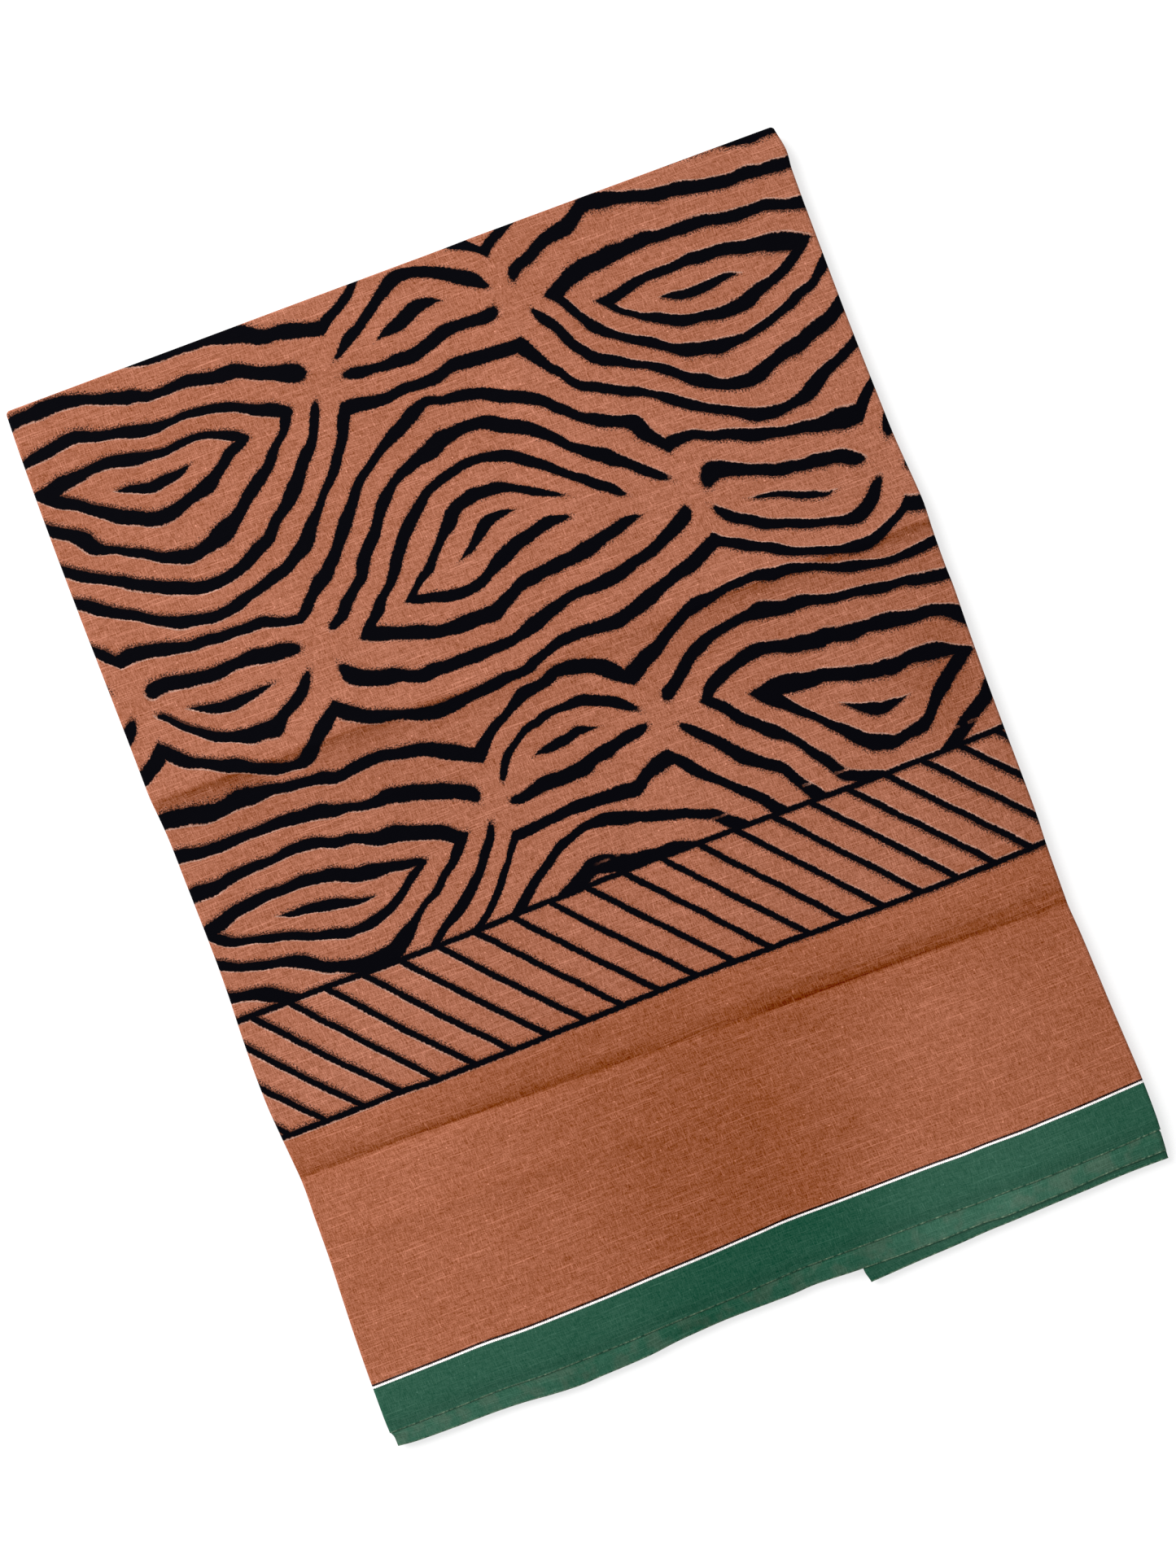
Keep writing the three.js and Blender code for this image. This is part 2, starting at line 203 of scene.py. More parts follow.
FLAP_SELVEDGE = [
    (276, -7.7), (304, -6.1), (328, -5.1), (349, -3.9), (362, -3.6), (386, -2.7), (410, -1.9),
    (434, -1.1), (456, -1.2),
]  # fmt: skip
print("panel at half height, mm:", round(read(RIGHT_FOLD, 306) - read(LEFT_FOLD, 306), 1))

# %% [markdown]
# A pack keeps the lines of its earlier foldings. Seen close, each is a soft trough or a soft ridge
# that is sharp on one side and fades out on the other, and no two are alike. So each crease is
# written down as a row of places with its height there, and two reaches: how far it is felt below
# and above its line. Creases that run up the panel are written the other way round.
# The sharp ones also get painted shade and painted light: darker and lighter lines painted beside
# them where their slopes would be shaded and lit, each with its own tone.


# %% Creases
class Crease:
    """A soft trough or ridge; its places are (along, line, height), in millimetres."""

    FADE = 12.0  # how long its two ends take to fade out

    def __init__(self, places, below, above, runs="across", painted_shading_marks=()):
        self.line = [(a, b) for a, b, _ in places]
        self.height = [(a, c) for a, _, c in places]
        self.peak = max(abs(c) for _, _, c in places)
        self.below, self.above, self.runs, self.painted_shading_marks = below, above, runs, painted_shading_marks

    def place(self, across, up):
        """The height at the nearest point of the line, and the distance from it."""
        along, off = (across, up) if self.runs == "across" else (up, across)
        first, last = self.line[0][0] - self.FADE, self.line[-1][0] + self.FADE
        if not first < along < last:
            return 0.0, 0.0
        ends = smooth((along - first) / self.FADE) * smooth((last - along) / self.FADE)
        return read(self.height, along) * ends, off - read(self.line, along)

    def at(self, across, up):
        """How far it raises the cloth at one place."""
        height, distance = self.place(across, up)
        return height * math.exp(-abs(distance) / (self.below if distance < 0 else self.above))

    def painted_shading_at(self, across, up):
        """The painted shade and light beside it; each mark is (tone, reach below, reach above)."""
        height, distance = self.place(across, up)
        tone = 0.0
        for strength, low, high in self.painted_shading_marks:
            reach = low if distance < 0 else high
            tone += strength * abs(height) / self.peak * math.exp(-abs(distance) / reach)
        return tone


# The marks of each crease are painted shade, and painted light where their tone is above zero.
CREASES = [
    Crease([(-12, 158.8, -0.5), (60, 158.6, -0.65), (120, 157.5, -0.6), (180, 156.2, -0.5),
            (230, 155.2, -0.35), (262, 154.6, -0.4), (285, 154.3, -0.6), (340, 153.8, -0.7),
            (396, 153.3, -0.6), (425, 152.8, -0.45), (470, 151.5, -0.45)], 4.5, 15,
           painted_shading_marks=[(-0.3, 0.8, 2.8), (-0.13, 0.8, 14), (0.04, 9, 0.6)]),
    Crease([(250, 160.4, -0.04), (300, 160.4, -0.16), (400, 159.8, -0.2), (470, 159, -0.25)],
           1.6, 3, painted_shading_marks=[(-0.12, 1.0, 1.4)]),
    Crease([(-12, 380.8, 0.5), (10, 380.8, 0.7), (100, 380.2, 0.75), (186, 379, 0.6),
            (225, 377, 0.32), (290, 376.8, 0.3), (324, 377.8, 0.6), (390, 377.6, 0.75),
            (470, 376.6, 0.65)], 6, 13,
           painted_shading_marks=[(-0.26, 3.2, 1.4), (-0.1, 15, 3.5), (0.06, 0.8, 24)]),
    Crease([(20, 117.5, 0.3), (100, 115.6, 0.32), (150, 114, 0.22), (215, 112.8, 0.12),
            (300, 112, 0.02)], 5, 7, painted_shading_marks=[(-0.09, 6, 1)]),
    Crease([(70, 428, 0.16), (128, 428.5, 0.16)], 7, 7),
    Crease([(190, 427, 0.14), (234, 427, 0.14)], 7, 7),
    Crease([(398, 428, 0.15), (441, 427.5, 0.15)], 7, 7),
    Crease([(404, 318, 0.2), (436, 320, 0.34), (470, 321, 0.3)], 15, 9),
    Crease([(338, 302, -0.25), (356, 313, -0.4), (374, 323, -0.3)], 8, 10, "up"),
    Crease([(40, 418, -0.22), (95, 417, -0.26), (148, 416, -0.16)], 9, 9, "up"),
    Crease([(33, 226.4, 0.3), (50, 226.9, 0.32)], 2.6, 2.6, "up"),
    Crease([(163, 146, -0.2), (181, 152, -0.2)], 4, 4, "up"),
    Crease([(160, 311, -0.22), (180, 318, -0.18)], 4, 4, "up"),
    Crease([(520, 60, 0.12), (585, 64, 0.1)], 12, 12, "up"),
    Crease([(210, 236, -0.12), (330, 241, -0.14)], 14, 14, "up"),
]  # fmt: skip
DROOP, DROOP_FROM, DROOP_RUN = 1.2, 24.0, 32.0  # how far down, from how far up, over what run
PLY_STEP, RAMP_RUN = 1.3, 28.0
SAG_RUN = 8.0


def relief(across, up):
    """How far every ply is raised at one place: creases, and selvedges with nothing under them."""
    droop = DROOP * smooth((DROOP_FROM - up) / DROOP_RUN)
    return -droop + sum(crease.at(across, up) for crease in CREASES)


def flap_ramp(across):
    """The turned-under end lifts all that lies on it by one ply."""
    return PLY_STEP * smooth((across - END_FROM + RAMP_RUN) / RAMP_RUN)


def sag(from_selvedge, depth):
    """How far a selvedge hangs down over its last few millimetres, to rest on the ply below."""
    return depth * smooth((SAG_RUN - from_selvedge) / SAG_RUN)


print("creases:", len(CREASES), "relief at the long trough, mm:", round(relief(60, 158.6), 2))

# %% [markdown]
# Light and shade are partly painted into the colour. Broad patches of painted shade and painted
# light stand in for the slow change of light over the pack, and the sharp creases get painted
# shade and light beside them. These follow the folding, not the weaving, so they are worked out
# at each vertex from the same creases, and kept as an attribute that the materials multiply their
# colour by.

# %% Painted light and shade
# Each row is a soft patch of painted light or, below zero, painted shade: its middle across
# and up, its reach both ways, and how much paler or darker it is.
PAINTED_SHADING_PATCHES = [
    (228, 86, 90, 105, -0.17), (45, 110, 66, 110, 0.05), (345, 82, 46, 90, 0.04),
    (440, 300, 34, 120, -0.05), (270, 40, 18, 60, -0.03), (330, 146, 120, 14, -0.08),
    (440, 90, 40, 120, -0.05), (350, 30, 60, 26, 0.1), (60, 560, 120, 60, -0.03),
    (50, 3, 36, 6, 0.12), (170, 3, 50, 6, -0.06), (360, 5, 60, 7, 0.26), (432, 293, 22, 26, -0.12),
    (45, 372, 30, 20, -0.08),
]  # fmt: skip


def painted_shading(across, up):
    """How much painted light or shade the cloth gets at one place, as a factor about 1."""
    tone = 1.0
    for x, y, wide, high, strength in PAINTED_SHADING_PATCHES:
        squared = ((across - x) / wide) ** 2 + ((up - y) / high) ** 2
        if squared < 6:
            tone += strength * math.exp(-squared)
    return tone + sum(crease.painted_shading_at(across, up) for crease in CREASES)


print("tone in the middle of the plain band:", round(painted_shading(240, 96), 3))

# %% [markdown]
# A flat sheet starts as a grid. The grid operator spaces its lines evenly, but folds and selvedges
# need close lines and the plain middle does not. So the grid's vertices are slid to lines of our own
# choosing. The flat place of every corner is kept in a UV map, in metres of real cloth: whatever
# is woven or printed then follows the cloth over every fold, as it does on the real thing.


# %% Flat cloth
def runs(start, *parts):
    """Places of grid lines: from a start, each part is (where it ends, into how many steps)."""
    lines = [start]
    for end, steps in parts:
        begin = lines[-1]
        lines += [begin + (end - begin) * (k + 1) / steps for k in range(steps)]
    return lines


def flat_cloth(columns, rows):
    """A grid of cloth in flat measures, with its UV map."""
    bm = bmesh.new()
    cloth_map = bm.loops.layers.uv.new("cloth")
    across_steps, up_steps = len(columns) - 1, len(rows) - 1
    bmesh.ops.create_grid(bm, x_segments=across_steps, y_segments=up_steps, size=1)
    for vertex in bm.verts:
        i = round((vertex.co.x + 1) / 2 * across_steps)
        j = round((vertex.co.y + 1) / 2 * up_steps)
        vertex.co = (columns[i], rows[j], 0)
    for face in bm.faces:
        face.smooth = True
        for loop in face.loops:
            loop[cloth_map].uv = loop.vert.co.xy * MM
    return bm


def as_piece(bm, name, node):
    """Makes the bmesh an object that rides on the body and replaces a solid."""
    # Each vertex keeps its painted light and shade as an attribute.
    tone = bm.verts.layers.float.new("painted_shading")
    for vertex in bm.verts:
        spot = vertex.co / MM
        vertex[tone] = painted_shading(spot.x - ACROSS_ZERO, spot.y - UP_ZERO)
    piece = bpy.data.objects.new(name, bpy.data.meshes.new(name))
    bm.to_mesh(piece.data)
    bm.free()
    bpy.context.collection.objects.link(piece)
    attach(piece, "root")
    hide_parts(node)
    return piece


CLOTH_THICKNESS = 0.28


def with_wall(piece):
    """Gives a sheet its thickness, inwards from the side that shows."""
    wall = piece.modifiers.new("cloth thickness", "SOLIDIFY")
    wall.thickness = CLOTH_THICKNESS * MM
    wall.offset = -1
    wall.use_even_offset = True


print("lines of a sample grid:", runs(0, (1, 2), (10, 3)))

# %% [markdown]
# The top ply is what shows most. It lies flat over the pack and turns down round its left, top and
# right folds. A fold is half a small circle, so the strip beyond the flat part is rolled round
# one: the further a point lies out on the strip, the further it has turned. At a corner the two
# strips meet, and there the roll goes round the corner like the rim of a coin.

# %% Top ply
PANEL_WIDTH = 456.0
PANEL_LENGTH = 606.0
FRONT_TOP = 7.2
FRONT_SAG = 0.95
ROLL_FROM = 2.6
ROLL_RADIUS = {"left": 1.89, "top": 1.15, "right": 1.8}
FADE_POWER = 1.2  # how fast a selvedge's own shape fades out up the panel
RUMPLE_DEPTH, RUMPLE_SIZE = 0.1, 46.0


def roll_length(radius):
    """How much cloth a fold of this radius takes, from the flat part to the underside."""
    return ROLL_FROM - radius + math.pi * radius


def top_ply_at(x, y):
    """Where a point of the flat top ply comes to lie."""
    side = "left" if x < PANEL_WIDTH / 2 else "right"
    inner_x = min(max(x, ROLL_FROM), PANEL_WIDTH - ROLL_FROM)
    inner_y = min(y, PANEL_LENGTH - ROLL_FROM)
    out_x = abs(x - inner_x) / roll_length(ROLL_RADIUS[side])
    out_y = (y - inner_y) / roll_length(ROLL_RADIUS["top"])

    share = inner_y / PANEL_LENGTH
    weight = (1 - share) ** FADE_POWER
    shift = read(FRONT_SELVEDGE, inner_x) * weight
    shift += (read(TOP_FOLD, inner_x) - PANEL_LENGTH) * (1 - weight)
    up = inner_y + shift
    left, right = read(LEFT_FOLD, up), read(RIGHT_FOLD, up)
    width = right - left - 2 * ROLL_FROM
    across = left + ROLL_FROM + (inner_x - ROLL_FROM) / (PANEL_WIDTH - 2 * ROLL_FROM) * width
    height = FRONT_TOP + flap_ramp(across) + relief(across, up)
    height += RUMPLE_DEPTH * noise.noise((across / RUMPLE_SIZE, up / RUMPLE_SIZE, 2.0))
    height -= sag(y, FRONT_SAG)
    if out_x == 0 and out_y == 0:
        return placed(across, up, height)
    angle = math.atan2(out_y, out_x)
    radius = ROLL_RADIUS[side]
    radius += (ROLL_RADIUS["top"] - radius) * angle / (math.pi / 2)
    rolled = max(out_x, out_y) * roll_length(radius)
    flat = min(rolled, ROLL_FROM - radius)
    turn = max(0.0, rolled - flat) / radius
    out = flat + radius * math.sin(turn)
    drop = radius * (1 - math.cos(turn))
    sign = -1 if side == "left" else 1
    return placed(
        across + sign * out * math.cos(angle), up + out * math.sin(angle), height - drop
    )


left_roll, right_roll = (roll_length(ROLL_RADIUS[s]) for s in ("left", "right"))
columns = runs(
    ROLL_FROM - left_roll, (ROLL_FROM, 9), (PANEL_WIDTH - ROLL_FROM, 160),
    (PANEL_WIDTH - ROLL_FROM + right_roll, 9),
)  # fmt: skip
rows = runs(
    0, (5, 5), (140, 48), (163, 26), (364, 65), (386, 26), (PANEL_LENGTH - ROLL_FROM, 76),
    (PANEL_LENGTH - ROLL_FROM + roll_length(ROLL_RADIUS["top"]), 9),
)  # fmt: skip
bm = flat_cloth(columns, rows)
for vertex in bm.verts:
    vertex.co = top_ply_at(vertex.co.x, vertex.co.y)
print("top ply:", len(bm.verts), "vertices,", len(bm.faces), "faces")
top_ply = as_piece(bm, "top_ply", "front_ply")
with_wall(top_ply)

# %% [markdown]
# Under the top ply lies the other half of the same panel, with its reverse side up. Only a strip of
# its border shows, where its selvedge sticks out. Below that, on the right, lies the cloth's own
# end, turned under with its face up. Both are flat sheets. One function makes them, because they
# differ only in their selvedge, their left end and their height.


# %% Ply below and turned-under end
LOWER_TOP = FRONT_TOP - PLY_STEP
LOWER_SAG = 0.8
LOWER_FOLD = 611.0
TUCK, WRAP_TUCK, CORNER_TUCK = 0.7, 1.7, 3.0
LEFT_WRAP_FROM, RIGHT_WRAP_FROM, WRAP_RUN = 9.0, 14.4, 4.0
CORNER_RUN = 3.5


def tucked_in(up, wrap_from):
    """How far a ply's side lies in from the fold: further where the top ply wraps round it."""
    under_wrap = smooth((up - wrap_from) / WRAP_RUN)
    round_corner = smooth(1 + (up - LOWER_FOLD) / CORNER_RUN)
    return TUCK + WRAP_TUCK * under_wrap + CORNER_TUCK * round_corner


def reverse_left_edge(up):
    """The left side of the ply below; it draws in a little where it sticks out past the top ply."""
    drawn_in = 1.2 * smooth((LEFT_WRAP_FROM - up) / WRAP_RUN)
    return read(LEFT_FOLD, up) + drawn_in + tucked_in(up, LEFT_WRAP_FROM)


def turned_left_edge(up):
    """The left side of the turned-under end, which slants in at its selvedge."""
    return END_FROM + 1.6 * smooth(-up / 8)


def flat_ply(columns, rows, selvedge, left_edge, height):
    """A flat ply below the top one, drawn from its selvedge up; height is that of its top side."""
    bm = flat_cloth(columns, rows)
    length = rows[-1]
    for vertex in bm.verts:
        x, y = vertex.co.x, vertex.co.y
        weight = (1 - y / length) ** FADE_POWER
        up = y + read(selvedge, x) * weight + (LOWER_FOLD - length) * (1 - weight)
        left, right = left_edge(up), read(RIGHT_FOLD, up) - tucked_in(up, RIGHT_WRAP_FROM)
        share = (x - columns[0]) / (columns[-1] - columns[0])
        across = left + share * (right - left)
        lift = relief(across, up) - sag(y, LOWER_SAG)
        vertex.co = placed(across, up, height(across) + lift)
    return bm


ply_rows = runs(0, (22, 18), (40, 4), (140, 16), (170, 10), (350, 30), (390, 13), (608, 36))
bm = flat_ply(
    runs(0, (PANEL_WIDTH, 152)), ply_rows, BACK_SELVEDGE, reverse_left_edge,
    height=lambda across: LOWER_TOP + flap_ramp(across),
)  # fmt: skip
print("ply below:", len(bm.faces), "faces")
reverse_ply = as_piece(bm, "reverse_ply", "back_ply")
with_wall(reverse_ply)

bm = flat_ply(
    runs(END_FROM, (PANEL_WIDTH, 60)), ply_rows, FLAP_SELVEDGE, turned_left_edge,
    height=lambda across: LOWER_TOP,
)  # fmt: skip
print("turned-under end:", len(bm.faces), "faces")
turned_end = as_piece(bm, "turned_end", "end_flap")
with_wall(turned_end)

# %% [markdown]
# The other three panels are hidden: six plies that show only at the pack's sides. Modelling each one
# would spend thousands of faces on cloth that nobody sees. So they are one body, and only its
# edge is drawn ply by ply. The edge is pulled up from the border of a grid in thin rings. Each
# ring has its own inset: on three sides the rings round off whole folds, and along the selvedges
# they draw six separate edges with a slit between each.

# %% Hidden plies
HIDDEN_HEIGHT = LOWER_TOP - PLY_STEP
HIDDEN_MARGIN = 3.0
HIDDEN_ROUND = 4.0
HIDDEN_FRONT, HIDDEN_BACK = 5.5, 613.0
LEFT_LINE, RIGHT_LINE = HIDDEN_MARGIN, PANEL_WIDTH - HIDDEN_MARGIN
FRONT_LINE, BACK_LINE = HIDDEN_FRONT + HIDDEN_MARGIN, HIDDEN_BACK - HIDDEN_MARGIN
RIM = 6.0  # this near the border the grid has a line for each millimetre
WANDER, WANDER_SIZE = 0.35, 60.0
# Each fold, from the table up: how many plies it holds, its inset, and how deeply it is rounded.
FOLDS = {
    "left": [(4, 0.6, 1.5), (2, 2.5, 0.8)],
    "top": [(2, 0.4, 0.8), (2, 1.1, 0.8), (2, 0.6, 0.8)],
    "right": [(2, 3.0, 0.8), (4, 0.6, 1.5)],
}
# For each ply its inset at the selvedges, and for each ring in a ply its height and extra inset.
SELVEDGE_INSETS = [0.6, 2.6, 1.2, 3.4, 0.2, 2.2]
RING_SHARES = [0.03, 0.12, 0.36, 0.64, 0.88, 0.97]
SLIT = [2.2, 0.25, 0.0, 0.0, 0.25, 2.2]


def edge_wave(along, ply):
    """The slow wander of one ply's edge."""
    return WANDER * noise.noise((along / WANDER_SIZE, ply * 3.7, 9.0))


def fold_number(side, level):
    """Which fold of a side a level lies in; levels are counted in plies from the table."""
    number, top = 0, FOLDS[side][0][0]
    while level > top and number < len(FOLDS[side]) - 1:
        number += 1
        top += FOLDS[side][number][0]
    return number


def fold_inset(side, level, along):
    """How far one fold lies in from the outline at a level."""
    number = fold_number(side, level)
    plies, inset, round_by = FOLDS[side][number]
    first = sum(fold[0] for fold in FOLDS[side][:number])
    t = min(max(2 * (level - first) / plies - 1, -0.995), 0.995)
    bulge = round_by * (1 - math.sqrt(1 - t * t))
    return inset + bulge + edge_wave(along, first + plies / 2)


def hidden_plan(x, y):
    """Plan place of a grid point of the hidden plies, and the way out from it."""
    core_x = min(max(x, LEFT_LINE + HIDDEN_ROUND), RIGHT_LINE - HIDDEN_ROUND)
    core_y = min(max(y, FRONT_LINE + HIDDEN_ROUND), BACK_LINE - HIDDEN_ROUND)
    out = Vector((x - core_x, y - core_y))
    if out.x and out.y:
        reach = max(abs(out.x), abs(out.y))
        out = out.normalized() * reach
    up = core_y + out.y
    up += (read(TOP_FOLD, core_x) - HIDDEN_BACK) * up / HIDDEN_BACK
    share = (core_x + out.x) / PANEL_WIDTH
    across = read(LEFT_FOLD, up) * (1 - share) + read(RIGHT_FOLD, up) * share
    return Vector((across, up)), out.normalized() if out.length else out


def hidden_ring_point(plan, out, level, part):
    """A point of one ring; level is counted in plies, and part is its place within the ply."""
    along_side, along_end = plan.y, plan.x
    side = fold_inset("left" if out.x < 0 else "right", level, along_side)
    if out.y > 0:
        end = fold_inset("top", level, along_end)
    else:
        ply = int(level)
        end = SELVEDGE_INSETS[ply] + SLIT[part] + 1.2 * edge_wave(along_end, ply)
    inset = side * out.x**2 + end * out.y**2
    spot = plan + out * (HIDDEN_MARGIN - inset)
    share = level / len(SELVEDGE_INSETS)
    height = share * HIDDEN_HEIGHT + relief(spot.x, spot.y) * min(1, 2 * share)
    return placed(spot.x, spot.y, max(height, 0.0))


columns = runs(LEFT_LINE, (LEFT_LINE + RIM, 6), (RIGHT_LINE - RIM, 88), (RIGHT_LINE, 6))
rows = runs(FRONT_LINE, (FRONT_LINE + RIM, 6), (BACK_LINE - RIM, 118), (BACK_LINE, 6))
bm = flat_cloth(columns, rows)
home = bm.verts.layers.float_vector.new("home")
for vertex in bm.verts:
    vertex[home] = vertex.co
bmesh.ops.reverse_faces(bm, faces=bm.faces)
border = [edge for edge in bm.edges if edge.is_boundary]
for vertex in bm.verts:
    plan, _ = hidden_plan(*vertex[home].xy)
    vertex.co = placed(plan.x, plan.y, 0)
for ply in range(len(SELVEDGE_INSETS)):
    for part, part_share in enumerate(RING_SHARES):
        pulled = bmesh.ops.extrude_edge_only(bm, edges=border)["geom"]
        border = [item for item in pulled if isinstance(item, bmesh.types.BMEdge)]
        border = [edge for edge in border if edge.is_boundary]
        for vertex in {v for edge in border for v in edge.verts}:
            vertex[home].z = ply + part_share
            plan, out = hidden_plan(*vertex[home].xy)
            vertex.co = hidden_ring_point(plan, out, ply + part_share, part)
rings = len(SELVEDGE_INSETS) * len(RING_SHARES)
print("edge rings:", rings, "with", len(border), "stations each")

# %% [markdown]
# The body still has no top. A second grid with the same lines makes one, and the bridge operator
# joins its border to the last ring. It is quicker than filling the hole face by face, and every
# station meets its own neighbour because both borders have the same count. Each fold shows another
# panel of the cloth, so the flat map moves on by one panel from fold to fold. The edge rings stand
# almost upright, so the map also creeps with the height, or the yarns would smear there.

# %% Close the hidden plies
MAP_CREEP = 0.7
MAP_FROM = 6.0  # about where the selvedges of the hidden plies lie
lid = flat_cloth(columns, rows)
lid_home = lid.verts.layers.float_vector.new("home")
lid_mesh = bpy.data.meshes.new("lid")
for vertex in lid.verts:
    vertex[lid_home] = (vertex.co.x, vertex.co.y, len(SELVEDGE_INSETS))
    plan, _ = hidden_plan(*vertex.co.xy)
    vertex.co = placed(plan.x, plan.y, HIDDEN_HEIGHT + relief(plan.x, plan.y))
lid.to_mesh(lid_mesh)
lid.free()
bm.from_mesh(lid_mesh)
bpy.data.meshes.remove(lid_mesh)
bmesh.ops.bridge_loops(bm, edges=[edge for edge in bm.edges if edge.is_boundary])
bmesh.ops.recalc_face_normals(bm, faces=bm.faces)
cloth_map, home = bm.loops.layers.uv["cloth"], bm.verts.layers.float_vector["home"]
for face in bm.faces:
    face.smooth = True
    for loop in face.loops:
        x, y, level = loop.vert[home]
        out = hidden_plan(x, y)[1]
        side = "top" if out.y > abs(out.x) else "left" if out.x < 0 else "right"
        panel = 1 + (fold_number(side, level) if out.y >= 0 else 0)
        spot = loop.vert.co / MM - Vector((ACROSS_ZERO, UP_ZERO, 0))
        creep = MAP_CREEP * spot.z
        flat_x, flat_y = spot.x + creep + panel * PANEL_WIDTH, spot.y - MAP_FROM + creep
        loop[cloth_map].uv = flat_x * MM, flat_y * MM
print("hidden plies:", len(bm.faces), "faces, open edges:", sum(e.is_boundary for e in bm.edges))
hidden_plies = as_piece(bm, "hidden_plies", "folded_layers")

# %% [markdown]
# Every shader here is built from a few small formulas. Placing nodes one call at a time hides a
# formula behind its wiring, so a short helper adds a node, fills its sockets with values or
# links, and hands back its output. A formula then reads along the line.


# %% A short way to draw nodes
class Sketch:
    """Draws shader nodes in one tree."""

    def __init__(self, tree):
        self.tree = tree

    def fill(self, node, sockets, values):
        """Gives each socket its value, or links it to the output that is given for it."""
        for socket, value in zip(sockets, values):
            if isinstance(value, bpy.types.NodeSocket):
                self.tree.links.new(value, socket)
            else:
                socket.default_value = value
        return node

    def math(self, operation, *values):
        node = self.tree.nodes.new("ShaderNodeMath")
        node.operation = operation
        return self.fill(node, node.inputs, values).outputs[0]

    def vector(self, operation, *values):
        node = self.tree.nodes.new("ShaderNodeVectorMath")
        node.operation = operation
        self.fill(node, node.inputs, values)
        return node.outputs["Value" if operation in ("LENGTH", "DOT_PRODUCT") else "Vector"]

    def scaled(self, vector, factor):
        node = self.tree.nodes.new("ShaderNodeVectorMath")
        node.operation = "SCALE"
        self.fill(node, [node.inputs["Vector"], node.inputs["Scale"]], [vector, factor])
        return node.outputs["Vector"]

    def step(self, value, low, high):
        """A soft step: 0 up to low, 1 from high on."""
        node = self.tree.nodes.new("ShaderNodeMapRange")
        node.interpolation_type = "SMOOTHSTEP"
        return self.fill(node, node.inputs, (value, low, high, 0.0, 1.0)).outputs["Result"]

    def noise(self, place, size, detail, seed):
        """Soft noise about 0.5, with patches of about this size in millimetres."""
        node = self.tree.nodes.new("ShaderNodeTexNoise")
        node.noise_dimensions = "2D"
        sizes = size if isinstance(size, tuple) else (size, size)
        spread = self.vector("MULTIPLY", place, (1 / sizes[0], 1 / sizes[1], 0))
        moved = self.vector("ADD", spread, (seed * 7.3, seed * 3.1, 0))
        self.fill(node, [node.inputs["Vector"], node.inputs["Scale"], node.inputs["Detail"]],
                  [moved, 1.0, detail])  # fmt: skip
        return node.outputs["Fac"]

    def mix(self, factor, a, b, blend="MIX"):
        node = self.tree.nodes.new("ShaderNodeMix")
        node.data_type, node.blend_type = "RGBA", blend
        self.fill(node, [node.inputs[0], node.inputs[6], node.inputs[7]], [factor, a, b])
        return node.outputs[2]

    def split(self, vector):
        node = self.tree.nodes.new("ShaderNodeSeparateXYZ")
        return self.fill(node, node.inputs, [vector]).outputs

    def join(self, x, y, z=0.0):
        node = self.tree.nodes.new("ShaderNodeCombineXYZ")
        return self.fill(node, node.inputs, [x, y, z]).outputs[0]

    def use(self, group, **values):
        node = self.tree.nodes.new("ShaderNodeGroup")
        node.node_tree = group
        for name, value in values.items():
            self.fill(node, [node.inputs[name]], [value])
        return node.outputs


def effect(name, inputs, outputs):
    """An empty node group with named sockets; gives its tree, a sketch and both ends."""
    tree = bpy.data.node_groups.new(name, "ShaderNodeTree")
    for socket, kind in inputs.items():
        tree.interface.new_socket(socket, in_out="INPUT", socket_type="NodeSocket" + kind)
    for socket, kind in outputs.items():
        tree.interface.new_socket(socket, in_out="OUTPUT", socket_type="NodeSocket" + kind)
    source, sink = tree.nodes.new("NodeGroupInput"), tree.nodes.new("NodeGroupOutput")
    return tree, Sketch(tree), source.outputs, sink.inputs


print("helpers of Sketch:", ", ".join(name for name in vars(Sketch) if name[0] != "_"))


# %% [markdown]
# Plain-weave cotton is a fine net of uneven yarns. At arm's length the eye does not see each
# crossing; it sees short light and dark streaks along both yarn directions, where a yarn is thick
# or thin, and now and then a slub, a longer pale thread, or a nep, a tiny pale knot. So the weave
# is two stretched noises, one along each direction, with a high threshold on two more for the
# slubs. Noise is built on a grid, which would start all its streaks at the same places, so each
# is slanted a lot along its own yarn first. The neps are the middles of far-spread cells.

# %% Weave
NEPS_APART = 26.0
weave, s, given, result = effect(
    "Plain weave", {"Place": "Vector"}, {"Shade": "Float", "Slub": "Float", "Height": "Float"}
)
place = given["Place"]
x, y, _ = s.split(place)


def slanted(along_x, along_y):
    """The place with each row, or each column, slid along past the one before."""
    return s.join(s.math("MULTIPLY_ADD", y, along_x, x), s.math("MULTIPLY_ADD", x, along_y, y))


warp = s.noise(slanted(0, 2.9), (0.55, 3.4), 1.0, seed=1)
weft = s.noise(slanted(4.3, 0), (5.0, 0.55), 1.0, seed=2)
grain = s.noise(place, 0.8, 2.0, seed=3)
long_warp = s.noise(place, (1.0, 400.0), 1.0, seed=16)
long_weft = s.noise(place, (400.0, 1.0), 1.0, seed=17)
net = s.math("MULTIPLY", warp, 0.33)
for yarn, share in ((weft, 0.27), (grain, 0.26), (long_warp, 0.06), (long_weft, 0.08)):
    net = s.math("MULTIPLY_ADD", yarn, share, net)
warp_slub = s.step(s.noise(slanted(0, 5.3), (0.5, 6.0), 0.0, seed=4), 0.7, 0.78)
weft_slub = s.step(s.noise(slanted(31.0, 0), (38.0, 0.55), 0.0, seed=5), 0.68, 0.76)
cells = s.tree.nodes.new("ShaderNodeTexVoronoi")
cells.voronoi_dimensions = "2D"
